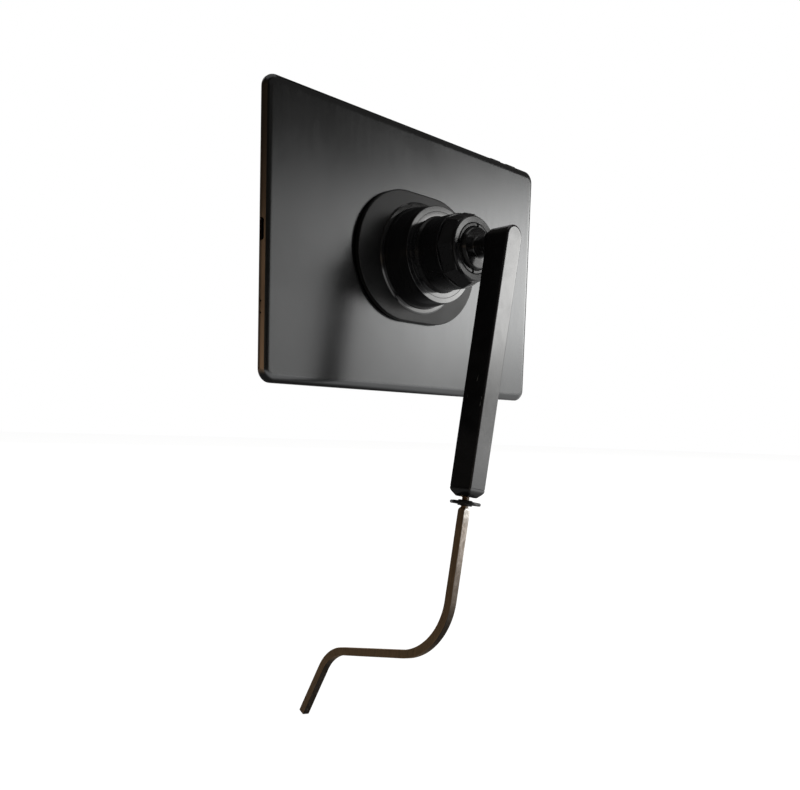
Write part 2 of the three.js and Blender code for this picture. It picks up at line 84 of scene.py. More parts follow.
tablet_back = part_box("tablet_housing")[1].y
hub = box_centre("hub_body")
AXIS = Vector((hub.x, tablet_back, hub.z))
flat = [m for m in frame["record"]["mounts"] if m["name"] == "stem_clamp_flat"][0]["axis"]
LEAN = math.atan2(flat[2], flat[0])

HEAD = Matrix.Translation(AXIS)
ARM = HEAD @ Matrix.Rotation(-LEAN, 4, "Y")
screen = box_centre("front_glass")
TABLET = Matrix.Translation(Vector((screen.x, tablet_back, screen.z)))
TABLET_WIDTH = box_size("tablet_housing").x
TABLET_HEIGHT = box_size("tablet_housing").z

BALL_Y = 52
STEM_Y = 78.1


# --- Mesh tools -------------------------------------------------------------------------------------------


def rounded(corners, closed=False, steps=5):
    """Points of a profile whose corners, (across, along, radius), are turned into arcs."""
    points = []
    count = len(corners)
    for i, (x, y, radius) in enumerate(corners):
        inner = closed or 0 < i < count - 1
        if radius <= 0 or not inner:
            points.append((x, y))
            continue
        here = Vector((x, y))
        before = Vector(corners[i - 1][:2]) - here
        after = Vector(corners[(i + 1) % count][:2]) - here
        reach = min(before.length, after.length) * 0.49
        before.normalize()
        after.normalize()
        angle = before.angle(after)
        setback = radius / math.tan(angle / 2)
        if setback > reach:
            radius *= reach / setback
            setback = reach
        middle = here + (before + after).normalized() * (radius / math.sin(angle / 2))
        start = here + before * setback - middle
        end = here + after * setback - middle
        for k in range(steps + 1):
            t = k / steps
            arm = start.lerp(end, t)
            arm = arm.normalized() * radius if arm.length > 1e-9 else arm
            points.append(tuple(middle + arm))
    return points


def outline(width, height, radius, steps=10):
    """An anticlockwise rectangle with round corners, as (across, up)."""
    points = []
    for side_x, side_z, start in ((1, -1, -90), (1, 1, 0), (-1, 1, 90), (-1, -1, 180)):
        for i in range(steps + 1):
            angle = math.radians(start + 90 * i / steps)
            points.append(
                (
                    side_x * (width / 2 - radius) + radius * math.cos(angle),
                    side_z * (height / 2 - radius) + radius * math.sin(angle),
                )
            )
    return points


def build(name, verts, faces, matrix, sharp=32):
    """An object whose own frame is matrix, from points in millimetres."""
    mesh = bpy.data.meshes.new(name)
    mesh.from_pydata([Vector(v) * MM for v in verts], [], faces)
    work = bmesh.new()
    work.from_mesh(mesh)
    bmesh.ops.remove_doubles(work, verts=work.verts, dist=1e-7)
    bmesh.ops.dissolve_degenerate(work, edges=work.edges, dist=1e-8)
    bmesh.ops.recalc_face_normals(work, faces=work.faces)
    work.to_mesh(mesh)
    work.free()
    obj = bpy.data.objects.new(name, mesh)
    bpy.context.scene.collection.objects.link(obj)
    obj.matrix_world = matrix
    smooth(obj, sharp)
    return obj


def smooth(obj, sharp=32):
    """Smooth shading, with edges sharper than so many degrees left crisp."""
    for polygon in obj.data.polygons:
        polygon.use_smooth = True
    obj.data.set_sharp_from_angle(angle=math.radians(sharp))


def skin(rings, closed=True):
    """Faces over rings of the same count of points.

    The ends are capped, or with closed=False the last ring joins the first.
    """
    count = len(rings[0])
    verts = [p for ring in rings for p in ring]
    faces = []
    spans = len(rings) - 1 if closed else len(rings)
    for r in range(spans):
        a = r * count
        b = ((r + 1) % len(rings)) * count
        for i in range(count):
            j = (i + 1) % count
            faces.append((a + i, a + j, b + j, b + i))
    if closed:
        faces.append(tuple(range(count)))
        faces.append(tuple((len(rings) - 1) * count + i for i in range(count)))
    return verts, faces


def lathe(name, corners, matrix, segments=96, ring=False, steps=5, sharp=32):
    """A body of revolution about Y, from corners (distance from Y, y, radius).

    With ring, the profile closes on itself; otherwise it starts and ends on the axis.
    """
    profile = rounded(corners, closed=ring, steps=steps)
    verts = []
    rows = []
    for radius, y in profile:
        if radius < 1e-6:
            rows.append([len(verts)] * segments)
            verts.append((0, y, 0))
            continue
        rows.append(list(range(len(verts), len(verts) + segments)))
        for i in range(segments):
            angle = TAU * i / segments
            verts.append((radius * math.cos(angle), y, radius * math.sin(angle)))
    if ring:
        rows.append(rows[0])
    faces = []
    for low, high in zip(rows, rows[1:]):
        for i in range(segments):
            j = (i + 1) % segments
            face = list(dict.fromkeys((low[i], low[j], high[j], high[i])))
            if len(face) > 2:
                faces.append(face)
    return build(name, verts, faces, matrix, sharp)


def slab(name, width, height, radius, levels, matrix, steps=12):
    """A plate parallel to XZ with round corners. Each level is (y, inset)."""
    rings = []
    for y, inset in levels:
        shape = outline(width - 2 * inset, height - 2 * inset, max(radius - inset, 0.05), steps)
        rings.append([(x, y, z) for x, z in shape])
    return build(name, *skin(rings), matrix)


def edge_levels(y, depth, inset, direction, steps=4):
    """Levels of a quarter-round edge that ends at y, depth tall and inset wide, from the side to the face."""
    levels = []
    for k in range(steps + 1):
        angle = math.pi / 2 * k / steps
        levels.append((y - direction * depth * (1 - math.sin(angle)), inset * (1 - math.cos(angle))))
    return levels


def applied(obj):
    """The object's mesh with its modifiers in it."""
    bpy.context.view_layer.update()
    graph = bpy.context.evaluated_depsgraph_get()
    mesh = bpy.data.meshes.new_from_object(obj.evaluated_get(graph))
    obj.modifiers.clear()
    old = obj.data
    obj.data = mesh
    bpy.data.meshes.remove(old)
    return obj


def boolean(obj, tools, operation="DIFFERENCE", sharp=32):
    """Cuts the tools out of the object, or joins them to it, and removes them."""
    for tool in tools:
        modifier = obj.modifiers.new("cut", "BOOLEAN")
        modifier.operation = operation
        modifier.solver = "EXACT"
        modifier.object = tool
    applied(obj)
    for tool in tools:
        bpy.data.objects.remove(tool)
    smooth(obj, sharp)
    return obj


def bevel(obj, width, angle):
    """Rounds edges that turn by more than so many degrees."""
    modifier = obj.modifiers.new("edges", "BEVEL")
    modifier.width = width * MM
    modifier.segments = 2
    modifier.limit_method = "ANGLE"
    modifier.angle_limit = math.radians(angle)
    modifier.harden_normals = False
    applied(obj)
    smooth(obj, 40)
    return obj


def brick(low, high, matrix, turn=None):
    """A box between two corners, for cutting."""
    verts = [(x, y, z) for x in (low[0], high[0]) for y in (low[1], high[1]) for z in (low[2], high[2])]
    if turn is not None:
        verts = [tuple(turn @ Vector(v)) for v in verts]
    faces = [(0, 1, 3, 2), (4, 6, 7, 5), (0, 4, 5, 1), (2, 3, 7, 6), (0, 2, 6, 4), (1, 5, 7, 3)]
    return build("cut", verts, faces, matrix)


def done(obj, body, node, material):
    """Evens out the flats' shading, gives a piece its material, hangs it on its body and hides the CAD part
    it replaces.
    """
    modifier = obj.modifiers.new("flats", "WEIGHTED_NORMAL")
    modifier.keep_sharp = True
    modifier.weight = 50
    applied(obj)
    obj.data.materials.clear()
    obj.data.materials.append(material)
    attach(obj, body)
    if node:
        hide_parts(node)
    return obj


# --- Materials --------------------------------------------------------------------------------------------


def lighter(colour, times):
    """A colour times brighter, or darker where times is under 1."""
    return tuple(c * times for c in colour)


class Finish:
    """A node material, built up on one Principled shader."""

    def __init__(self, name, colour, roughness, metallic=0.0, ior=1.5, coat=0.0, coat_roughness=0.05):
        self.material = bpy.data.materials.new(name)
        self.material.use_nodes = True
        self.nodes = self.material.node_tree.nodes
        self.links = self.material.node_tree.links
        self.shader = self.nodes["Principled BSDF"]
        self.shader.inputs["Base Color"].default_value = (*colour, 1)
        self.shader.inputs["Roughness"].default_value = roughness
        self.shader.inputs["Metallic"].default_value = metallic
        self.shader.inputs["IOR"].default_value = ior
        self.shader.inputs["Coat Weight"].default_value = coat
        self.shader.inputs["Coat Roughness"].default_value = coat_roughness
        self.place = self.nodes.new("ShaderNodeTexCoord")
        self.normal = None

    def link(self, output, target):
        self.links.new(output, target)

    def at(self, scale=(1, 1, 1)):
        """Object coordinates, in metres, stretched by scale."""
        node = self.nodes.new("ShaderNodeMapping")
        node.inputs["Scale"].default_value = scale
        self.link(self.place.outputs["Object"], node.inputs["Vector"])
        return node.outputs["Vector"]

    def grain(self, size, detail=3.0, stretch=(1, 1, 1), rough=0.5, distortion=0.0):
        """Noise whose features are about size millimetres across."""
        node = self.nodes.new("ShaderNodeTexNoise")
        node.inputs["Scale"].default_value = 1 / (size * MM)
        node.inputs["Detail"].default_value = detail
        node.inputs["Roughness"].default_value = rough
        node.inputs["Distortion"].default_value = distortion
        self.link(self.at(stretch), node.inputs["Vector"])
        return node.outputs["Fac"]

    def cells(self, size, stretch=(1, 1, 1), feature="DISTANCE_TO_EDGE"):
        """Distances in a pattern of cells about size millimetres across."""
        node = self.nodes.new("ShaderNodeTexVoronoi")
        node.feature = feature
        node.inputs["Scale"].default_value = 1 / (size * MM)
        self.link(self.at(stretch), node.inputs["Vector"])
        return node.outputs["Distance"]

    def axis(self, name, kind="Object"):
        """One coordinate of the place, or of the surface's normal."""
        node = self.nodes.new("ShaderNodeSeparateXYZ")
        self.link(self.place.outputs[kind], node.inputs["Vector"])
        return node.outputs[name]

    def window(self, value, low, high, to_low=0.0, to_high=1.0):
        """Maps value smoothly from low..high to to_low..to_high, held at the ends."""
        node = self.nodes.new("ShaderNodeMapRange")
        node.interpolation_type = "SMOOTHSTEP"
        node.clamp = True
        self.link(value, node.inputs["Value"])
        node.inputs["From Min"].default_value = low
        node.inputs["From Max"].default_value = high
        node.inputs["To Min"].default_value = to_low
        node.inputs["To Max"].default_value = to_high
        return node.outputs["Result"]

    def maths(self, operation, a, b=0):
        """A Math node on two values, each a number or an output."""
        node = self.nodes.new("ShaderNodeMath")
        node.operation = operation
        for value, socket in ((a, node.inputs[0]), (b, node.inputs[1])):
            if isinstance(value, (int, float)):
                socket.default_value = value
            else:
                self.link(value, socket)
        return node.outputs[0]

    def times(self, a, b):
        return self.maths("MULTIPLY", a, b)

    def plus(self, a, b):
        return self.maths("ADD", a, b)

    def minus(self, a, b):
        return self.maths("SUBTRACT", a, b)

    def away(self, value):
        """How far a value is from zero, either way."""
        return self.maths("ABSOLUTE", value)

    def mix(self, factor, a, b):
        """Mixes two colours, each an RGB triple or an output."""
        node = self.nodes.new("ShaderNodeMix")
        node.data_type = "RGBA"
        self.link(factor, node.inputs["Factor"])
        for value, name in ((a, "A"), (b, "B")):
            socket = [s for s in node.inputs if s.name == name and s.type == "RGBA"][0]
            if isinstance(value, tuple):
                socket.default_value = (*value, 1)
            else:
                self.link(value, socket)
        return [s for s in node.outputs if s.type == "RGBA"][0]

    def paint(self, output):
        self.link(output, self.shader.inputs["Base Color"])

    def gloss(self, output):
        self.link(output, self.shader.inputs["Roughness"])

    def bump(self, height, depth):
        """Adds relief, depth millimetres from lowest to highest."""
        node = self.nodes.new("ShaderNodeBump")
        node.inputs["Strength"].default_value = 1
        node.inputs["Distance"].default_value = depth * MM
        self.link(height, node.inputs["Height"])
        if self.normal is not None:
            self.link(self.normal, node.inputs["Normal"])
        self.normal = node.outputs["Normal"]
        self.link(self.normal, self.shader.inputs["Normal"])


ARM_LOW, ARM_HIGH = 69.5, 87.0
ARM_MIDDLE = (ARM_LOW + ARM_HIGH) / 2
ARM_DEEP = (ARM_HIGH - ARM_LOW) / 2
ARM_HALF = 7.2
ARM_EDGE_START = ARM_HALF - 0.1

BLACK = (0.010, 0.010, 0.011)
BARE_METAL = (0.30, 0.30, 0.29)


def edge_wear(finish):
    """Nicks on the arm's sides, and bare metal along the edges where it is rubbed."""
    nick = finish.grain(2.2, detail=3, stretch=(2.6, 1, 0.12), rough=0.6)
    nick = finish.window(nick, 0.70, 0.73, 0, 0.7)
    side = finish.away(finish.axis("X"))
    face = finish.away(finish.minus(finish.axis("Y"), ARM_MIDDLE * MM))
    edge = finish.window(side, (ARM_EDGE_START - 0.6) * MM, ARM_EDGE_START * MM)
    edge = finish.times(edge, finish.window(face, (ARM_DEEP - 0.6) * MM, (ARM_DEEP - 0.2) * MM))
    rubbed = finish.window(finish.grain(3, detail=5, rough=0.7), 0.52, 0.66, 0, 0.4)
    return finish.maths("MAXIMUM", nick, finish.times(edge, rubbed))


def black_anodised(name, roughness=0.2, ior=1.75, worn=False):
    """Black anodised aluminium: glossy, with a fine grain, faint handling marks and a little dust."""
    finish = Finish(name, BLACK, roughness, ior=ior)
    smudge = finish.grain(14, detail=4, rough=0.6, distortion=0.6)
    speck = finish.grain(0.35, detail=2)
    scratch = finish.grain(1.2, detail=5, stretch=(9, 0.7, 0.7), rough=0.7)
    dull = finish.window(smudge, 0.35, 0.75, roughness * 0.85, roughness * 1.35)
    marks = finish.window(scratch, 0.66, 0.72, 0.0, 0.06)
    finish.gloss(finish.plus(dull, marks))
    pale = tuple(c * 2.6 + 0.006 for c in BLACK)
    dust = finish.window(speck, 0.66, 0.82, 0.0, 0.45)
    shade = finish.mix(finish.window(smudge, 0.3, 0.8), BLACK, lighter(BLACK, 1.5))
    shade = finish.mix(dust, shade, pale)
    if worn:
        shade = finish.mix(edge_wear(finish), shade, BARE_METAL)
    finish.paint(shade)
    finish.bump(finish.grain(0.18, detail=2), 0.0025)
    finish.bump(finish.grain(1.6, detail=3), 0.004)
    return finish.material


def satin_black():
    """Bead-blasted and black anodised: an even, silky surface with a fine tooth."""
    colour = (0.010, 0.010, 0.0105)
    roughness = 0.34
    finish = Finish("plate_satin", colour, roughness, ior=1.33)
    cloud = finish.grain(22, detail=4, rough=0.6)
    tooth = finish.grain(0.22, detail=2)
    finish.gloss(finish.window(cloud, 0.3, 0.75, roughness * 0.88, roughness * 1.12))
    shade = finish.mix(finish.window(cloud, 0.25, 0.8), colour, lighter(colour, 1.3))
    finish.paint(finish.mix(finish.window(tooth, 0.6, 0.85, 0, 0.35), shade, lighter(colour, 2.2)))
    finish.bump(tooth, 0.006)
    return finish.material


def tablet_metal():
    """Dark grey anodised aluminium, finely blasted, with wiping marks on the back.

    The two short sides, forward of the back's round edge, carry a painted reflection in a bronze tone,
    fading towards dark grey higher up.
    """
    grey = (0.080, 0.081, 0.082)
    half_width = TABLET_WIDTH / 2 * MM
    half_height = TABLET_HEIGHT / 2 * MM
    finish = Finish("tablet_metal", grey, 0.3, metallic=1.0)
    cloud = finish.grain(55, detail=4, rough=0.55, distortion=0.4)
    wipe = finish.grain(6, detail=5, stretch=(1.6, 1, 0.16), rough=0.65)
    tooth = finish.grain(0.16, detail=2)
    end = finish.window(finish.away(finish.axis("X")), half_width - 0.0075, half_width - 0.0035)
    tall = finish.window(finish.away(finish.axis("Z")), half_height - 0.0045, half_height - 0.0085)
    # side: the band on the two short sides that takes the painted reflection, and is a little rougher
    side = finish.times(finish.window(finish.axis("Y"), -0.0009, -0.0011), finish.times(end, tall))
    rough = finish.window(cloud, 0.3, 0.75, 0.195, 0.225)
    rough = finish.plus(rough, finish.window(wipe, 0.4, 0.8, 0.0, 0.03))
    finish.gloss(finish.plus(rough, finish.times(side, 0.08)))
    shade = finish.mix(finish.window(cloud, 0.25, 0.8), grey, lighter(grey, 1.12))
    shade = finish.mix(finish.window(tooth, 0.62, 0.85, 0, 0.3), shade, lighter(grey, 1.5))
    # painted reflection: a bronze tone on the short sides, fading towards dark grey higher up
    painted_reflection = finish.mix(finish.window(cloud, 0.3, 0.7), (0.74, 0.53, 0.37), (0.50, 0.35, 0.24))
    painted_reflection = finish.mix(finish.window(finish.axis("Z"), -0.01, 0.07, 0, 0.8), painted_reflection, (0.11, 0.10, 0.085))
    finish.paint(finish.mix(side, shade, painted_reflection))
    finish.bump(tooth, 0.004)
    return finish.material


def worn_steel():
    """Bare steel gone brown, rubbed light where the socket holds it.

    Below the nut the face turned to +Y carries a painted highlight mixed with rubbed patches, and the
    other faces are painted a brighter brown than that face.
    """
    dark = (0.052, 0.034, 0.020)
    finish = Finish("worn_steel", dark, 0.42, metallic=0.75, ior=1.6)
    blotch = finish.grain(5, detail=6, rough=0.68, distortion=0.8)
    streak = finish.grain(1.1, detail=6, stretch=(1, 1, 0.12), rough=0.7)
    pit = finish.grain(0.3, detail=3)
    streaky = finish.window(streak, 0.3, 0.75)
    # outer: the faces turned to +Y, which get the painted highlight; the other faces get a painted brighter
    # brown
    outer = finish.window(finish.axis("Y", "Normal"), 0.45, 0.85)
    height = finish.axis("Z")
    # rubbed: how strongly the painted highlight shows, strongest just below the nut and fading down the bar
    rubbed = finish.window(height, -0.238, -0.172, 0.12, 1.0)
    patchy = finish.window(finish.plus(blotch, finish.times(streak, 0.35)), 0.45, 0.86)
    # painted highlight on the face turned to +Y, mixed with rubbed patches
    painted_highlight_and_wear = finish.times(finish.times(outer, rubbed), finish.window(patchy, 0.0, 1.0, 0.35, 1.0))
    clamped = finish.window(streak, 0.5, 0.68, 0, 0.75)
    clamped = finish.times(finish.window(height, -0.296, -0.308), clamped)
    # painted light: faces not turned to +Y are painted a brighter brown than the face turned to +Y
    sides = finish.mix(streaky, (0.46, 0.30, 0.165), (0.62, 0.40, 0.22))
    brown = finish.mix(outer, sides, finish.mix(streaky, dark, (0.085, 0.060, 0.040)))
    brown = finish.mix(finish.window(blotch, 0.55, 0.8, 0, 0.5), brown, (0.055, 0.038, 0.024))
    # the painted highlight's colour, brightest just below the nut
    light = finish.mix(finish.window(streak, 0.3, 0.7), (0.70, 0.63, 0.56), (0.22, 0.175, 0.145))
    light = finish.mix(finish.window(height, -0.180, -0.169), light, (0.95, 0.91, 0.85))
    shade = finish.mix(painted_highlight_and_wear, brown, light)
    finish.paint(finish.mix(clamped, shade, (0.30, 0.27, 0.25)))
    finish.gloss(finish.window(blotch, 0.3, 0.8, 0.34, 0.52))
    finish.bump(pit, 0.02)
    finish.bump(streak, 0.03)
    return finish.material


def moulded_black(name, colour=(0.012, 0.012, 0.013), roughness=0.35, tooth=0.25):
    """Moulded black plastic with a fine spark-eroded texture and slight flow marks."""
    finish = Finish(name, colour, roughness, ior=1.5)
    fine = finish.cells(tooth, feature="F1")
    flow = finish.grain(8, detail=3, distortion=1.2)
    finish.gloss(finish.window(flow, 0.3, 0.8, roughness * 0.85, roughness * 1.2))
    finish.paint(finish.mix(finish.window(flow, 0.3, 0.8), colour, lighter(colour, 1.6)))
    finish.bump(fine, 0.01)
    return finish.material


def rubber():
    """Soft black rubber with settled dust."""
    black = (0.012, 0.012, 0.013)
    finish = Finish("pad_rubber", black, 0.75, ior=1.45)
    fine = finish.grain(0.3, detail=3)
    dust = finish.grain(3, detail=6, rough=0.7)
    finish.paint(finish.mix(finish.window(dust, 0.55, 0.8, 0, 0.5), black, (0.045, 0.043, 0.041)))
    finish.gloss(finish.window(dust, 0.3, 0.8, 0.65, 0.85))
    finish.bump(fine, 0.02)
    return finish.material


LIT_HALF = (0.1135, 0.0785)
LENS_X = -0.1196


def screen_glass():
    """Black glass over a bluer lit area and a small camera lens, with faint finger marks."""
    bezel = (0.004, 0.004, 0.0045)
    finish = Finish("screen_glass", (0.004, 0.004, 0.005), 0.05, ior=1.52, coat=0.3, coat_roughness=0.03)
    x = finish.axis("X")
    z = finish.axis("Z")
    wide = finish.window(finish.away(x), LIT_HALF[0] + 0.0003, LIT_HALF[0] - 0.0003)
    tall = finish.window(finish.away(z), LIT_HALF[1] + 0.0003, LIT_HALF[1] - 0.0003)
    lit = finish.times(wide, tall)
    dx = finish.maths("POWER", finish.away(finish.minus(x, LENS_X)), 2)
    dz = finish.maths("POWER", finish.away(z), 2)
    from_lens = finish.maths("SQRT", finish.plus(dx, dz))
    lens = finish.window(from_lens, 0.0011, 0.0009)
    rim = finish.minus(finish.window(from_lens, 0.0019, 0.0017), lens)
    shade = finish.mix(lit, bezel, (0.009, 0.010, 0.013))
    shade = finish.mix(rim, shade, (0.018, 0.018, 0.020))
    finish.paint(finish.mix(lens, shade, (0.010, 0.012, 0.030)))
    prints = finish.grain(9, detail=6, rough=0.62, distortion=1.5)
    finish.gloss(finish.window(prints, 0.5, 0.8, 0.04, 0.13))
    finish.bump(finish.grain(40, detail=1), 0.004)
    return finish.material


def machined(name, colour, roughness=0.28):
    """Turned bright metal, with fine rings round it."""
    finish = Finish(name, colour, roughness, metallic=1.0)
    rings = finish.grain(0.4, detail=3, stretch=(0.2, 5, 0.2))
    cloud = finish.grain(4, detail=3)
    finish.gloss(finish.window(rings, 0.3, 0.7, roughness * 0.8, roughness * 1.25))
    finish.paint(finish.mix(finish.window(cloud, 0.3, 0.8), colour, lighter(colour, 0.8)))
    finish.bump(rings, 0.004)
    return finish.material


def printed_board():
    """Green board with the pattern of its tracks and parts."""
    green = (0.02, 0.08, 0.04)
    finish = Finish("board", green, 0.4, ior=1.5)
    tracks = finish.cells(3.5, stretch=(1, 1, 1.6))
    finish.paint(finish.mix(finish.window(tracks, 0.03, 0.06), (0.10, 0.16, 0.07), green))
    finish.gloss(finish.window(finish.grain(2), 0.3, 0.7, 0.3, 0.5))
    finish.bump(tracks, 0.05)
    return finish.material


def foil():
    """Crinkled pouch foil."""
    colour = (0.06, 0.06, 0.062)
    finish = Finish("battery_foil", colour, 0.4, metallic=0.7)
    crease = finish.grain(7, detail=5, distortion=1.4)
    finish.paint(finish.mix(finish.window(crease, 0.3, 0.7), colour, lighter(colour, 1.6)))
    finish.gloss(finish.window(crease, 0.3, 0.7, 0.3, 0.5))
    finish.bump(crease, 0.12)
    return finish.material


GLOSS = black_anodised("gloss_black", 0.13)
COLLAR = black_anodised("collar_black", 0.27, ior=1.42)
ARM_GLOSS = black_anodised("arm_black", 0.17, worn=True)
BALL_GLOSS = black_anodised("ball_black", 0.14)
PLATE_SATIN = satin_black()
METAL = tablet_metal()
STEEL = worn_steel()
NUT = moulded_black("nut_plastic", roughness=0.42)
PLUG = black_anodised("plug_black", 0.2)
PORT = moulded_black("port_plastic", colour=(0.006, 0.006, 0.006), roughness=0.4)
PAD = rubber()
GLASS = screen_glass()
# for the CAD's own inner pieces, by their material slot
KEEP = {
    "brass": machined("turned_brass", (0.62, 0.44, 0.20)),
    "nylon": moulded_black("nylon", (0.05, 0.05, 0.05), 0.5, 0.4),
    "screw_steel": machined("plated_steel", (0.50, 0.51, 0.52)),
    "magnet_steel": machined("nickel", (0.55, 0.55, 0.56), 0.2),
    "panel_dark": moulded_black("panel_layers", (0.02, 0.022, 0.028), 0.3),
    "battery_foil": foil(),
    "board_green": printed_board(),
    "port_black": PORT,
}


# --- The tablet -------------------------------------------------------------------------------------------

BUTTON_SIZE = (12, 2)
BUTTON_Y = -3.9
BUTTONS = {
    "power_button": (-TABLET_WIDTH / 2, 70, -90),
    "volume_up_button": (-100, TABLET_HEIGHT / 2, 0),
    "volume_down_button": (-82, TABLET_HEIGHT / 2, 0),
}
PORT_SIZE = (13.5, 3.4)
PORT_Y = -3.3
MIC_HOLES = (42, 49)
WALL = 1.6
BACK_EDGE, BACK_RISE = 5.6, 3.6
CORNER = 8.6


def pill(name, length, height, low, high, y, matrix, edge=0.0):
    """A bar with round ends, standing along Z from low to high, its top edge rounded by edge."""
    levels = [(low, 0)]
    for k in range(5 if edge else 1):
        angle = math.pi / 8 * k if edge else math.pi / 2
        levels.append((high - edge * (1 - math.sin(angle)), edge * (1 - math.cos(angle))))
    rings = []
    for z, inset in levels:
        shape = outline(length - 2 * inset, height - 2 * inset, height / 2 - inset - 0.01, 8)
        rings.append([(x, y + v, z) for x, v in shape])
    return build(name, *skin(rings), matrix, 35)


def button_matrix(name):
    x, z, turn = BUTTONS[name]
    place = Matrix.Translation(Vector((x, 0, z)) * MM)
    return TABLET @ place @ Matrix.Rotation(math.radians(turn), 4, "Y")


def port_matrix():
    place = Matrix.Translation(Vector((TABLET_WIDTH / 2, 0, 0)) * MM)
    return TABLET @ place @ Matrix.Rotation(math.radians(90), 4, "Y")


def make_housing():
    """The tablet's back and sides, the back rounding into the sides, with a hollow inside."""
    levels = [(0, BACK_EDGE + 1.2), (0, BACK_EDGE + 0.4)]
    for k in range(19):
        angle = math.pi / 2 * k / 18
        levels.append((-BACK_RISE * (1 - math.cos(angle)), BACK_EDGE * (1 - math.sin(angle))))
    levels += [(-5.02, 0), (-5.14, 0.08), (-5.2, 0.25), (-5.2, 1.2)]
    for y, inset in ((-5.1, 0), (-3.8, 0.5), (-2.6, 1.4), (-1.6, 2.7), (-0.9, 3.9), (-0.9, 6)):
        levels.append((y, WALL + inset))
    housing = slab("housing", TABLET_WIDTH, TABLET_HEIGHT, CORNER, levels, TABLET, steps=16)
    tools = []
    for name in BUTTONS:
        size = (BUTTON_SIZE[0] + 0.6, BUTTON_SIZE[1] + 0.5)
        tools.append(pill("cut", *size, -3.5, 2.5, BUTTON_Y, button_matrix(name)))
    tools.append(pill("cut", *PORT_SIZE, -5.5, 2.5, PORT_Y, port_matrix()))
    for x in MIC_HOLES:
        place = port_matrix() @ Matrix.Translation((x * MM, 0, 0))
        tools.append(pill("cut", 1.32, 1.3, -3.4, 2.5, PORT_Y + 0.3, place))
    boolean(housing, tools)
    done(housing, "tablet", "tablet_housing", METAL)


def make_tablet():
    make_housing()
    size = box_size("front_glass")
    front = [(-5.2, 0)] + edge_levels(-6.1, 0.45, 0.7, -1, 5) + [(-6.1, 2)]
    glass = slab("glass", size.x, size.z, CORNER - 0.6, front, TABLET, steps=16)
    done(glass, "tablet", "front_glass", GLASS)

    for name in BUTTONS:
        button = pill(name + "_cap", *BUTTON_SIZE, -3.6, 0.45, BUTTON_Y, button_matrix(name), edge=0.3)
        done(button, name, name, METAL)

    length, height = PORT_SIZE
    shell = pill("port_shell", length + 1.2, height + 0.15, -10.5, -4.8, PORT_Y, port_matrix())
    boolean(shell, [pill("cut", length - 0.5, height - 0.5, -9.8, 0, PORT_Y, port_matrix())])
    done(shell, "tablet", "port_connector", PORT)
    tongue = pill("port_tongue", 8.2, 0.8, -9.9, -3.4, PORT_Y, port_matrix(), edge=0.3)
    done(tongue, "tablet", None, PORT)


# --- The plate and the hub --------------------------------------------------------------------------------


CAVITY = 15.25
CAVITY_MOUTH = 2.2
SLOT_TURN = -6


def make_plate():
    """The pad, the long plate with round ends on it, and the ring round the hub's foot."""
    size = box_size("face_pad")
    levels = [(0, 0.35), (0.06, 0.15), (0.2, 0.03), (0.35, 0), (0.7, 0)]
    pad = slab("pad", size.x, size.z, size.z / 2 - 0.01, levels, HEAD, steps=32)
    done(pad, "head", "face_pad", PAD)

    size = box_size("base_plate")
    levels = [(0.7, 0.5), (0.72, 0.3), (0.85, 0.08), (1.05, 0)]
    levels += [(3.1, 0)] + edge_levels(4.0, 0.7, 0.7, 1, 5) + [(4.0, 1.1), (4.0, 3)]
    plate = slab("plate", size.x, size.z, size.z / 2 - 0.01, levels, HEAD, steps=40)
    done(plate, "head", "base_plate", PLATE_SATIN)
    flange = lathe(
        "plate_flange",
        [(34.3, 3.5, 0), (37.8, 3.5, 0), (37.6, 4.25, 0.15), (36.6, 4.9, 0.5), (34.3, 5.0, 0)],
        HEAD,
        segments=128,
        ring=True,
    )
    done(flange, "head", None, GLOSS)


def make_hub():
    """The round boss, hollow at the back, its face a little conical with a fine turned groove."""
    corners = [
        (3.1, 20.6, 0),
        (29, 20.6, 1),
        (30.6, 19, 1),
        (30.6, 4, 0),
        (34, 4, 0),
        (34, 6, 0.8),
        (31.95, 22.6, 0.5),
        (31.8, 23.84, 0.35),
        (28.5, 23.9, 0.1),
        (28.35, 23.76, 0.05),
        (28.2, 23.91, 0.1),
        (25.5, 23.98, 0),
        (3.1, 24.0, 0),
    ]
    boss = lathe("boss", corners, HEAD, segments=128, ring=True)
    done(boss, "head", "hub_body", GLOSS)


def make_socket():
    """The neck and the collet: a round cavity for the ball, split into four fingers."""
    neck = [
        (0, 34.7, 0),
        (3.1, 34.7, 0),
        (3.1, 24, 0),
        (25.3, 24, 0.2),
        (25.1, 24.6, 0.3),
        (24.05, 26.6, 3),
        (24, 43.4, 0.5),
        (18.2, 43.4, 0.2),
        (18.2, 51.6, 0.4),
        (15.75, 54.95, 0.45),
        (13.9, 55, 0.25),
        (14.03, 54.2, 0),
    ]
    mouth = math.acos(CAVITY_MOUTH / CAVITY)
    for k in range(17):
        angle = mouth + (math.pi - mouth) * k / 16
        neck.append((CAVITY * math.sin(angle) if k < 16 else 0, BALL_Y + CAVITY * math.cos(angle), 0))
    socket = lathe("ball_socket", neck, HEAD, segments=120)
    tools = []
    for k in range(2):
        turn = Matrix.Rotation(math.radians(SLOT_TURN + 90 * k), 4, "Y")
        tools.append(brick((-0.95, 45.5, -20), (0.95, 56, 20), HEAD, turn))
    boolean(socket, tools)
    done(socket, "head", "socket", COLLAR)


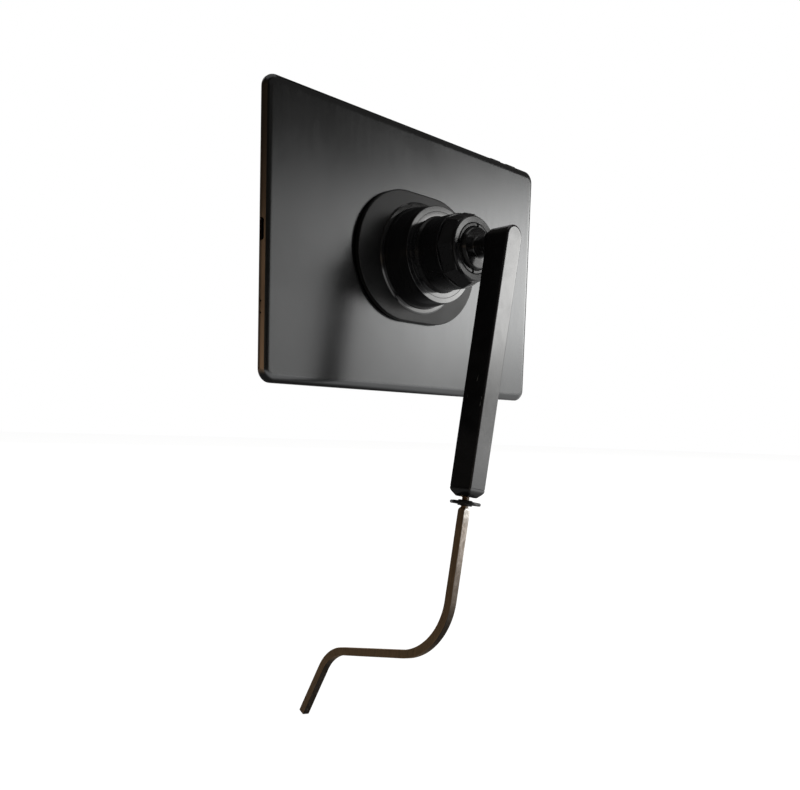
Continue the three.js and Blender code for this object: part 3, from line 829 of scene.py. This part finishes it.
def make_collar():
    """The faceted nut: eight tapering flats, then a round lip with a bright flat face."""
    rings = []
    for y, corner in ((43.8, 23.9), (44.3, 24.5), (53.0, 21.85), (53.4, 21.3)):
        rings.append([(corner * math.cos(TAU * k / 8), y, corner * math.sin(TAU * k / 8)) for k in range(8)])
    nut = build("collar", *skin(rings), HEAD)
    lip = [(0, 50, 0), (20.5, 50, 0), (20.5, 54.3, 0), (19.7, 55, 0.2), (16.3, 54.68, 0), (0, 54.68, 0)]
    boolean(nut, [lathe("lip", lip, HEAD, segments=128)], "UNION")
    bore = [(0, 42, 0), (19, 42, 0), (19, 43.8, 0), (18.5, 44.4, 0), (18.5, 51.7, 0), (16.2, 54.35, 0)]
    bore += [(16.9, 55.4, 0), (0, 55.4, 0)]
    boolean(nut, [lathe("bore", bore, HEAD, segments=128)])
    bevel(nut, 0.22, angle=28)
    done(nut, "collar", "collar_nut", COLLAR)


# --- The arm ----------------------------------------------------------------------------------------------

ARM_RISE = 2.7
ARM_FOOT = 155.0
ARM_EDGE = 1.15
ARM_HOLLOW = ((-4.8, 72.2, -ARM_FOOT - 2), (4.8, 84.4, -14))
BALL = 14
BALL_CROWN = 12.9
PLUG_BORE = 4.3
PLUG_LEVELS = (
    (-160.8, 3.75),
    (-160.7, 3.3),
    (-159.2, 1.9),
    (-158.1, 0.9),
    (-157.1, 0.25),
    (-156.6, 0.06),
    (-156.2, 0),
    (-155.45, 0),
    (-155.25, 0.12),
    (-155.22, 0.3),
    (-155.03, 0.3),
    (-155.03, 2),
)


def arm_ring(y, inset):
    """The arm's outline at one depth: a round head and a square foot."""
    steps = 28
    half = ARM_HALF - inset
    foot = -ARM_FOOT
    points = [(-half, y, foot), (half, y, foot)]
    for k in range(steps + 1):
        angle = math.pi * k / steps
        points.append((half * math.cos(angle), y, ARM_RISE + half * math.sin(angle)))
    return points


def make_arm():
    """The tube, its edges rounded, with the long hollow and the pocket for the ball stud's shank."""
    levels = [(ARM_LOW, ARM_EDGE + 1), (ARM_LOW, ARM_EDGE + 0.3)]
    for k in range(5):
        angle = math.pi / 8 * k
        levels.append((ARM_LOW + ARM_EDGE * (1 - math.cos(angle)), ARM_EDGE * (1 - math.sin(angle))))
    levels += [(ARM_HIGH - y + ARM_LOW, inset) for y, inset in reversed(levels)]
    tube = build("arm", *skin([arm_ring(y, inset) for y, inset in levels]), ARM, 30)
    pocket = lathe("cut", [(0, 68, 0), (4.7, 68, 0), (4.7, 82.5, 0), (0, 82.5, 0)], ARM, segments=48)
    boolean(tube, [brick(*ARM_HOLLOW, ARM), pocket], sharp=30)
    done(tube, "arm", "arm_tube", ARM_GLOSS)


def make_plug():
    """The tapered plug in the arm's foot, with a fine groove at the joint and a bore for the thread."""
    rings = []
    for z, inset in PLUG_LEVELS:
        size = (2 * (ARM_HALF - inset), 2 * (ARM_DEEP - inset))
        shape = outline(*size, max(ARM_EDGE - inset * 0.3, 0.3), 4)
        rings.append([(x, ARM_MIDDLE + v, z) for x, v in shape])
    plug = build("plug", *skin(rings), ARM, 24)
    bore = []
    for z in (-162, -150):
        angles = [TAU * k / 40 for k in range(40)]
        bore.append([(PLUG_BORE * math.cos(a), STEM_Y + PLUG_BORE * math.sin(a), z) for a in angles])
    boolean(plug, [build("cut", *skin(bore), ARM)], sharp=24)
    done(plug, "arm", "end_plug", PLUG)


def make_stud():
    """The ball, its crown turned off flat, and the neck and flange that carry it."""
    crown = math.asin(BALL_CROWN / BALL)
    corners = []
    for k in range(25):
        angle = math.pi + (crown - math.pi) * k / 24
        corners.append((BALL * math.sin(angle) if k else 0, BALL_Y + BALL * math.cos(angle), 0))
    corners += [
        (12.5, 58.0, 0.6),
        (6.6, 58.75, 1.0),
        (6.2, 65.4, 0.8),
        (6.3, 66.6, 0.8),
        (6.9, 68.2, 1.5),
        (8.5, 69.1, 0.4),
        (8.5, 69.45, 0),
        (2.8, 69.5, 0),
        (2.8, 80.5, 0),
        (0, 80.5, 0),
    ]
    stud = lathe("stud", corners, ARM, segments=96, steps=4)
    done(stud, "arm", "ball_stud", BALL_GLOSS)


def make_jam_nut():
    """A thin nut with five finger lobes, and a short round hub.

    A level is (radius, z, 0) on the hub, and (distance in from the lobes' outline, z, 1) on the lobes.
    """
    segments = 160
    levels = [
        (2.85, -166.3, 0),
        (4.3, -166.3, 0),
        (4.6, -166.0, 0),
        (4.6, -165.75, 0),
        (5.2, -165.5, 0.0),
        (-0.7, -165.5, 1),
        (-0.2, -165.25, 1),
        (0, -164.9, 1),
        (0, -164.1, 1),
        (-0.2, -163.75, 1),
        (-0.7, -163.5, 1),
        (5.2, -163.5, 0.0),
        (4.6, -163.25, 0),
        (4.6, -163.0, 0),
        (4.3, -162.7, 0),
        (2.85, -162.7, 0),
    ]
    rings = []
    for offset, z, lobed in levels:
        ring = []
        for k in range(segments):
            angle = TAU * k / segments
            wave = (1 + math.cos(5 * angle)) / 2
            radius = offset + lobed * (8.6 + 1.4 * wave**0.7)
            ring.append((radius * math.cos(angle), STEM_Y + radius * math.sin(angle), z))
        rings.append(ring)
    nut = build("lock_nut", *skin(rings, closed=False), ARM, 30)
    done(nut, "jam_nut", "jam_nut", NUT)


# --- The stem ---------------------------------------------------------------------------------------------

STEM_TOP = 167.0
STEM_SIDE = 5.6
# (length, 0) for a straight, (radius, degrees) for a bend
BENDS = ((59.2, 0.0), (41.4, 78.7), (61.2, 0.0), (26.5, -56.4), (40.0, 0.0))
# (distance from the end, side, corner radius) where the square bar starts and ends
STEM_SHOULDER = ((0.0, 3.6, 1.7), (0.05, 4.3, 2.1), (0.5, 5.0, 2.2), (1.1, 5.6, 1.6), (2.0, 5.6, 0.55))
STEM_TIP = ((0.6, 5.6, 0.5), (0.25, 5.3, 0.6), (0.0, 4.7, 0.7))
THREAD_ROOT, THREAD_DEPTH = 2.08, 0.4
THREAD_PITCH, THREAD_TURNS = 0.8, 24


def stem_stations():
    """Places along the bar's centre line, (y, z, angle from straight down, how far into a bend)."""
    y, z, angle = STEM_Y, -STEM_TOP, 0.0
    stations = [(y, z, angle, 0.0)]
    for length, turn in BENDS:
        steps = 28 if turn else 12
        for k in range(steps):
            half = math.radians(turn) / steps / 2
            chord = 2 * length * math.sin(abs(half)) if turn else length / steps
            angle += half
            y -= chord * math.sin(angle)
            z -= chord * math.cos(angle)
            angle += half
            bend = math.sin(math.pi * (k + 1) / steps) if turn else 0.0
            stations.append((y, z, angle, math.copysign(bend, turn) if turn else 0.0))
    return stations


def stem_ring(station, side, corner, index):
    """The bar's section: flats with worn round corners, a little wider inside a bend and thinner outside."""
    y, z, angle, bend = station
    ring = []
    for across, out in outline(side, side, corner, 4):
        swell = 1 - 0.035 * bend * (1 if out > 0 else -1) * min(1, abs(out) / 2)
        wobble = 0.035 * noise.noise(Vector((across * 0.3, out * 0.3, index * 0.21)))
        px = across * swell * (1 + wobble / 2.8)
        po = out * (1 + wobble / 2.8)
        ring.append((-px, y + po * math.cos(angle), z - po * math.sin(angle)))
    return ring


def make_stem():
    stations = stem_stations()
    top = stations[0]
    end = stations[-1]
    rings = []
    for drop, side, corner in STEM_SHOULDER:
        rings.append(stem_ring((top[0], top[1] - drop, 0, 0), side, corner, 0))
    rings += [stem_ring(s, STEM_SIDE, 0.5, i) for i, s in enumerate(stations[1:-1], 1)]
    for back, side, corner in STEM_TIP:
        place = (end[0] + back * math.sin(end[2]), end[1] + back * math.cos(end[2]), end[2], 0)
        rings.append(stem_ring(place, side, corner, len(stations)))
    bar = build("bar", *skin(rings), ARM, 26)
    done(bar, "stem", "stem_bar", STEEL)


def make_thread():
    """The screw thread above the bar, its ridge fading out at both ends."""
    segments, per_turn = 36, 6
    count = THREAD_TURNS * per_turn
    rings = []
    for k in range(count + 1):
        phase = (k / per_turn) % 1
        fade = min(1, k / 4, (count - k) / 4)
        radius = THREAD_ROOT + THREAD_DEPTH * (1 - abs(2 * phase - 1)) * fade
        ring = []
        for i in range(segments):
            angle = TAU * i / segments
            z = -STEM_TOP - 1 + (k + i / segments) * THREAD_PITCH / per_turn
            ring.append((radius * math.cos(angle), STEM_Y + radius * math.sin(angle), z))
        rings.append(ring)
    thread = build("stem_thread", *skin(rings), ARM, 60)
    done(thread, "stem", None, STEEL)


make_tablet()
make_plate()
make_hub()
make_socket()
make_collar()
make_arm()
make_plug()
make_stud()
make_jam_nut()
make_stem()
make_thread()

slots = {part["node"]: part["material_slot"] for part in frame["record"]["subparts"]}
for node, obj in frame["nodes"].items():
    if not obj.hide_render:
        obj.data.materials.clear()
        obj.data.materials.append(KEEP[slots[node]])


# --- Stage, light and camera ------------------------------------------------------------------------------


FLOOR_DROP = 0.0005
FLOOR_RINGS = (200, 600, 1500, 4000, 12000)
PAPER, PAPER_DARK = (0.42, 0.42, 0.42), (0.40, 0.40, 0.40)
SEEN_GLOW = 0.96
# level directions, as (x, y): out behind the arm and across it, out before the screen and beside it
BEHIND, ACROSS = (-0.743, 0.669), (0.669, 0.743)
BEFORE, BESIDE = (-0.5, -0.866), (0.866, -0.5)


def floor_glow(finish):
    """How brightly the floor shines.

    The camera sees an even glow. Other rays see two soft patches, which stand for a bright floor behind the
    arm and before the screen, so that only what faces down and outwards picks them up.
    """
    path = finish.nodes.new("ShaderNodeLightPath")
    seen = path.outputs["Is Camera Ray"]
    x = finish.minus(finish.axis("X"), AXIS.x)
    y = finish.minus(finish.axis("Y"), AXIS.y)

    def along(way):
        return finish.plus(finish.times(x, way[0]), finish.times(y, way[1]))

    out = along(BEHIND)
    first = finish.plus(finish.window(out, 0.1, 0.45, 0, 1.0), finish.window(out, 1.2, 3.2, 0, 0.4))
    first = finish.times(first, finish.window(finish.away(along(ACROSS)), 2.2, 1.4))
    beside = along(BESIDE)
    second = finish.window(along(BEFORE), 0.25, 1.4, 0, 0.7)
    second = finish.times(second, finish.window(beside, 1.6, 0.9))
    second = finish.times(second, finish.window(beside, -3.0, -1.5))
    unseen = finish.times(finish.plus(first, second), finish.minus(1, seen))
    return finish.plus(finish.times(seen, SEEN_GLOW), unseen)


def make_floor():
    """A wide pale round floor just under the stem's lowest corner."""
    segments = 96
    middle = AXIS.x / MM
    verts = [(middle, 0, 0)]
    rows = []
    for radius in FLOOR_RINGS:
        rows.append(range(len(verts), len(verts) + segments))
        for k in range(segments):
            angle = TAU * k / segments
            verts.append((middle + radius * math.cos(angle), radius * math.sin(angle), 0))
    faces = [(0, rows[0][k], rows[0][(k + 1) % segments]) for k in range(segments)]
    for inner, outer in zip(rows, rows[1:]):
        for k in range(segments):
            j = (k + 1) % segments
            faces.append((inner[k], outer[k], outer[j], inner[j]))
    floor = build("floor", verts, faces, Matrix.Translation((0, 0, cad_box[0].z - FLOOR_DROP)))
    finish = Finish("floor_paper", PAPER, 0.9)
    fibre = finish.grain(1.5, detail=4)
    finish.paint(finish.mix(finish.window(fibre, 0.3, 0.7), PAPER, PAPER_DARK))
    finish.bump(fibre, 0.01)
    finish.shader.inputs["Emission Color"].default_value = (1, 1, 1, 1)
    finish.link(floor_glow(finish), finish.shader.inputs["Emission Strength"])
    floor.data.materials.append(finish.material)


LIGHT_DISTANCE = 6.0


def bearing(azimuth, elevation):
    """A direction: azimuth from +Y towards -X, elevation above level."""
    a, e = math.radians(azimuth), math.radians(elevation)
    return Vector((-math.sin(a) * math.cos(e), math.cos(a) * math.cos(e), math.sin(e)))


def make_light(name, azimuths, elevations, strength, colour):
    """A soft rectangular light that fills a range of azimuth and elevation as seen from the hub."""
    away = bearing(sum(azimuths) / 2, sum(elevations) / 2)
    width, height = (abs(high - low) / 2 for low, high in (azimuths, elevations))
    data = bpy.data.lights.new(name, "AREA")
    data.shape = "RECTANGLE"
    data.size = 2 * LIGHT_DISTANCE * math.tan(math.radians(width))
    data.size_y = 2 * LIGHT_DISTANCE * math.tan(math.radians(height))
    data.energy = strength * data.size * data.size_y * math.pi
    data.color = colour
    light = bpy.data.objects.new(name, data)
    bpy.context.scene.collection.objects.link(light)
    light.location = AXIS + away * LIGHT_DISTANCE
    light.rotation_mode = "QUATERNION"
    light.rotation_quaternion = away.to_track_quat("Z", "Y")
    light.visible_camera = False


DAYLIGHT = (1.0, 0.998, 0.985)
FILL = (1.0, 0.995, 0.99)
# (name, azimuths, elevations, strength, colour)
LIGHTS = (
    ("window_1", (46, 80), (6, 15), 1.8, DAYLIGHT),
    ("window_2", (43, 80), (5, 16.5), 1.9, DAYLIGHT),
    ("window_3", (39.5, 82), (2.5, 17.5), 1.4, DAYLIGHT),
    ("window_4", (20, 84), (0, 18), 1.2, DAYLIGHT),
    ("window_5", (30, 90), (-3.2, 0.5), 1.5, DAYLIGHT),
    ("overhead", (-25, 25), (65, 115), 0.5, FILL),
    ("ceiling", (0, 90), (26, 60), 0.10, FILL),
    ("warm_side", (-112, -16), (-3, 9), 0.17, (1, 0.80, 0.60)),
    ("screen_side", (130, 190), (2, 46), 0.5, (0.97, 0.98, 1.0)),
)
ROOM = (0.028, 0.026, 0.023, 1)
BACKDROP = (1, 1, 1, 1)


def make_lights():
    """A soft window low behind the arm, dimming towards its edges, and weak fills round it.

    The camera sees a white backdrop, and everything else a dim room.
    """
    for light in LIGHTS:
        make_light(*light)
    world = bpy.data.worlds.new("studio")
    bpy.context.scene.world = world
    world.use_nodes = True
    nodes, links = world.node_tree.nodes, world.node_tree.links
    path = nodes.new("ShaderNodeLightPath")
    mix = nodes.new("ShaderNodeMix")
    mix.data_type = "RGBA"
    links.new(path.outputs["Is Camera Ray"], mix.inputs["Factor"])
    room, backdrop = [s for s in mix.inputs if s.type == "RGBA"]
    room.default_value = ROOM
    backdrop.default_value = BACKDROP
    result = [s for s in mix.outputs if s.type == "RGBA"][0]
    links.new(result, nodes["Background"].inputs["Color"])


# millimetres from the hub's axis at the tablet's back
CAMERA_PLACE = (384.743, 404.316, -117.509)
CAMERA_FORWARD = (-0.678036, -0.729505, -0.089942)
CAMERA_UP = (-0.039332, -0.08618, 0.995503)
CAMERA_LENS = 35.1247
CAMERA_SHIFT = 0.13


def make_camera():
    """The photograph's viewpoint: behind the tablet, to its left and a little below it."""
    forward = Vector(CAMERA_FORWARD).normalized()
    right = forward.cross(Vector(CAMERA_UP)).normalized()
    up = right.cross(forward)
    data = bpy.data.cameras.new("camera")
    data.sensor_width = 36
    data.lens = CAMERA_LENS
    data.shift_y = CAMERA_SHIFT
    data.clip_start = 0.01
    data.clip_end = 60
    camera = bpy.data.objects.new("camera", data)
    bpy.context.scene.collection.objects.link(camera)
    turn = Matrix((right, up, -forward)).transposed().to_4x4()
    camera.matrix_world = Matrix.Translation(Vector(CAMERA_PLACE) * MM + AXIS) @ turn
    bpy.context.scene.camera = camera


make_floor()
make_lights()
make_camera()
bpy.context.scene.view_settings.view_transform = "Standard"
